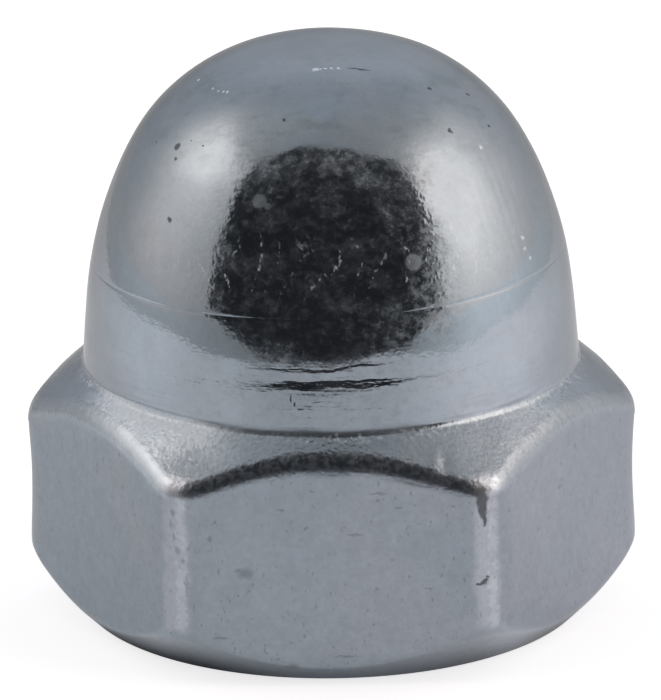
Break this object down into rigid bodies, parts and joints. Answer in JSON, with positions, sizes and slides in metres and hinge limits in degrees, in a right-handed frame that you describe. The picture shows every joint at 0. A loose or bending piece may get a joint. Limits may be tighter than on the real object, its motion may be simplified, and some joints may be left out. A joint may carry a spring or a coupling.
{
  "type": "cap nut",
  "caption": "Hexagonal nut with a tall closed dome over a blind threaded hole, forged in one piece from plated steel.",
  "frame": {"origin": "centre of the flat bearing face, on the thread's axis", "axes": "+Z along the thread's axis, from the bearing face towards the crown of the cap; two flats face -Y and +Y, and two corners of the hexagon point to -X and +X"},
  "size_m": [0.019, 0.017, 0.018],
  "materials": {
    "plated_steel": "bright zinc plating over forged steel, blue-grey, with a satin sheen, fine pitting and light handling marks"
  },
  "bodies": {
    "root": {"cap_nut": "plated_steel"}
  },
  "joints": []
}
